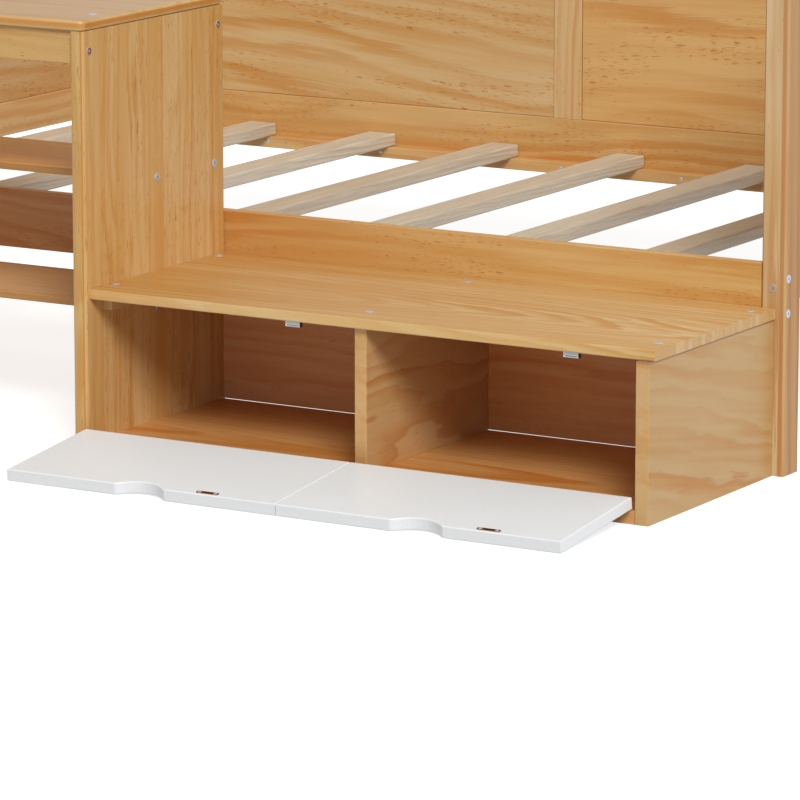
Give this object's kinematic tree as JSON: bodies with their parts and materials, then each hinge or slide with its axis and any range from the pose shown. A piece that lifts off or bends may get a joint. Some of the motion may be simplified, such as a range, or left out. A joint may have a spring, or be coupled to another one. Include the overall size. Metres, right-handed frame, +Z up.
{
  "type": "daybed with storage",
  "caption": "Panelled pine daybed with slatted base, a low storage bench with drop-down white doors and a shelved desk along its front.",
  "frame": {"origin": "on the floor, under the middle of the whole daybed with both doors lying open", "axes": "+X along the bed towards the end with the storage bench, +Y from the doors towards the panelled back, +Z up"},
  "size_m": [1.956, 1.7384, 0.95],
  "materials": {
    "pine": "honey pine boards under a satin clear lacquer",
    "slat_wood": "pale planed softwood, unlacquered",
    "white_lacquer": "board painted in smooth white satin lacquer",
    "steel": "zinc-plated steel",
    "catch_plastic": "moulded white plastic"
  },
  "bodies": {
    "bed": {"post_front_left": "pine", "post_back_left": "pine", "post_front_right": "pine", "post_back_right": "pine", "rail_front": "pine", "rail_back": "pine", "rail_back_top": "pine", "ledge_front": "pine", "ledge_back": "pine", "rail_end_left": "pine", "rail_end_top_left": "pine", "rail_end_right": "pine", "rail_end_top_right": "pine", "stile_back": "pine", "panel_back_left": "pine", "panel_end_left": "pine", "panel_back_right": "pine", "panel_end_right": "pine", "slat_1": "slat_wood", "slat_2": "slat_wood", "slat_3": "slat_wood", "slat_4": "slat_wood", "slat_5": "slat_wood", "slat_6": "slat_wood", "slat_7": "slat_wood", "slat_8": "slat_wood", "bench_top": "pine", "bench_side": "pine", "bench_floor": "pine", "bench_divider": "pine", "bench_back": "pine", "bench_cleat": "pine", "hinge_left_1_floor_leaf": "steel", "hinge_left_1_pin": "steel", "hinge_left_2_floor_leaf": "steel", "hinge_left_2_pin": "steel", "hinge_right_1_floor_leaf": "steel", "hinge_right_1_pin": "steel", "hinge_right_2_floor_leaf": "steel", "hinge_right_2_pin": "steel", "catch_left": "catch_plastic", "catch_right": "catch_plastic", "desk_side_left": "pine", "desk_side_right": "pine", "desk_top": "pine", "desk_apron_front": "pine", "desk_apron_back": "pine", "desk_shelf_upper": "pine", "desk_shelf_lower": "pine"},
    "door_left": {"door_left": "white_lacquer", "strike_left": "steel", "hinge_left_1_door_leaf": "steel", "hinge_left_2_door_leaf": "steel"},
    "door_right": {"door_right": "white_lacquer", "strike_right": "steel", "hinge_right_1_door_leaf": "steel", "hinge_right_2_door_leaf": "steel"}
  },
  "joints": [
    {"name": "door_left_hinge", "type": "hinge", "parent": "bed", "child": "door_left", "pos_m": [0.23888, -0.6568, 0.02165], "axis": [-1, 0, 0], "range_deg": [0, 96.3]},
    {"name": "door_right_hinge", "type": "hinge", "parent": "bed", "child": "door_right", "pos_m": [0.70413, -0.6568, 0.02165], "axis": [-1, 0, 0], "range_deg": [0, 96.3]}
  ]
}
